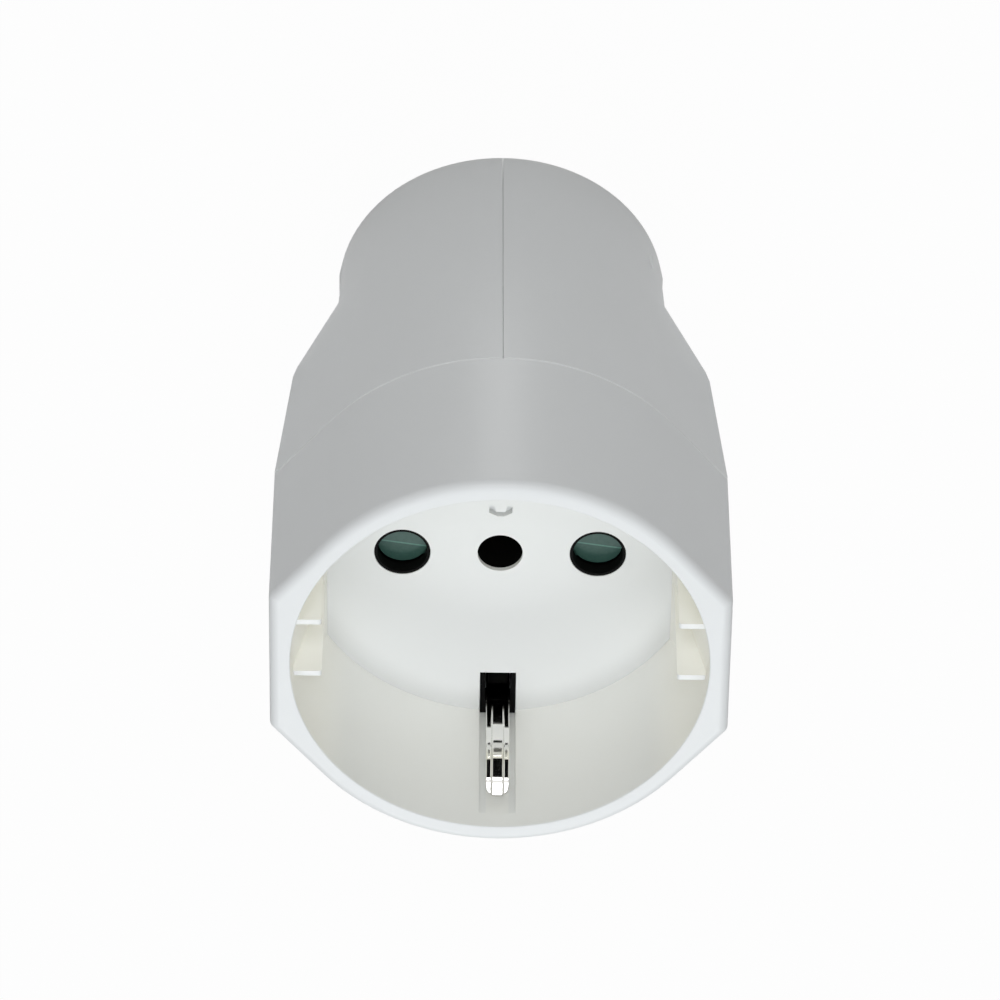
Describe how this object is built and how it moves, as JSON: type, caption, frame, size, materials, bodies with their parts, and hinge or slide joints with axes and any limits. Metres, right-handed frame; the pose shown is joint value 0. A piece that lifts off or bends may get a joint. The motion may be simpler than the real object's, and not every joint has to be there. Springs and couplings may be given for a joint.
{
  "type": "inline socket connector",
  "caption": "Rewirable inline socket with a round recess, side earth clips, a centre earth hole and a turning shutter behind the pin holes; the cord is left off.",
  "frame": {"origin": "centre of the flat rear face round the cord inlet", "axes": "+Z along the connector's axis from the rear face out of the socket's mouth, +X across the two pin holes and the side flats, +Y across the two earth clips; the rear shells meet on the plane X = 0"},
  "size_m": [0.044, 0.0438, 0.0613],
  "materials": {
    "white_moulding": "fine matt white thermoplastic",
    "black_moulding": "matt black insulating moulding",
    "green_moulding": "satin dark green moulding",
    "contact_brass": "bright stamped brass",
    "plated_strip": "bright nickel plated strip",
    "spring_steel": "bright spring steel",
    "screw_steel": "zinc plated steel"
  },
  "bodies": {
    "housing": {"front_cup": "white_moulding", "rear_shell_left": "white_moulding", "rear_shell_right": "white_moulding", "contact_carrier": "black_moulding", "line_contact": "contact_brass", "line_clasp": "spring_steel", "line_terminal": "contact_brass", "line_terminal_screw": "screw_steel", "neutral_contact": "contact_brass", "neutral_clasp": "spring_steel", "neutral_terminal": "contact_brass", "neutral_terminal_screw": "screw_steel", "shutter_holder": "black_moulding", "shutter_spring": "spring_steel", "earth_strap": "plated_strip", "earth_contact": "contact_brass", "earth_terminal": "contact_brass", "earth_terminal_screw": "screw_steel", "cord_clamp": "white_moulding", "clamp_screw_near": "screw_steel", "clamp_screw_far": "screw_steel", "housing_screw_rear": "screw_steel", "housing_screw_front": "screw_steel"},
    "shutter": {"shutter": "green_moulding"}
  },
  "joints": [
    {"name": "shutter_turn", "type": "hinge", "parent": "housing", "child": "shutter", "pos_m": [0, 0, 0.0415], "axis": [0, 0, 1], "range_deg": [0, 38], "stiffness_Nm_per_rad": 0.002, "springref_deg": -20.05, "deforming": ["shutter_spring"]}
  ]
}
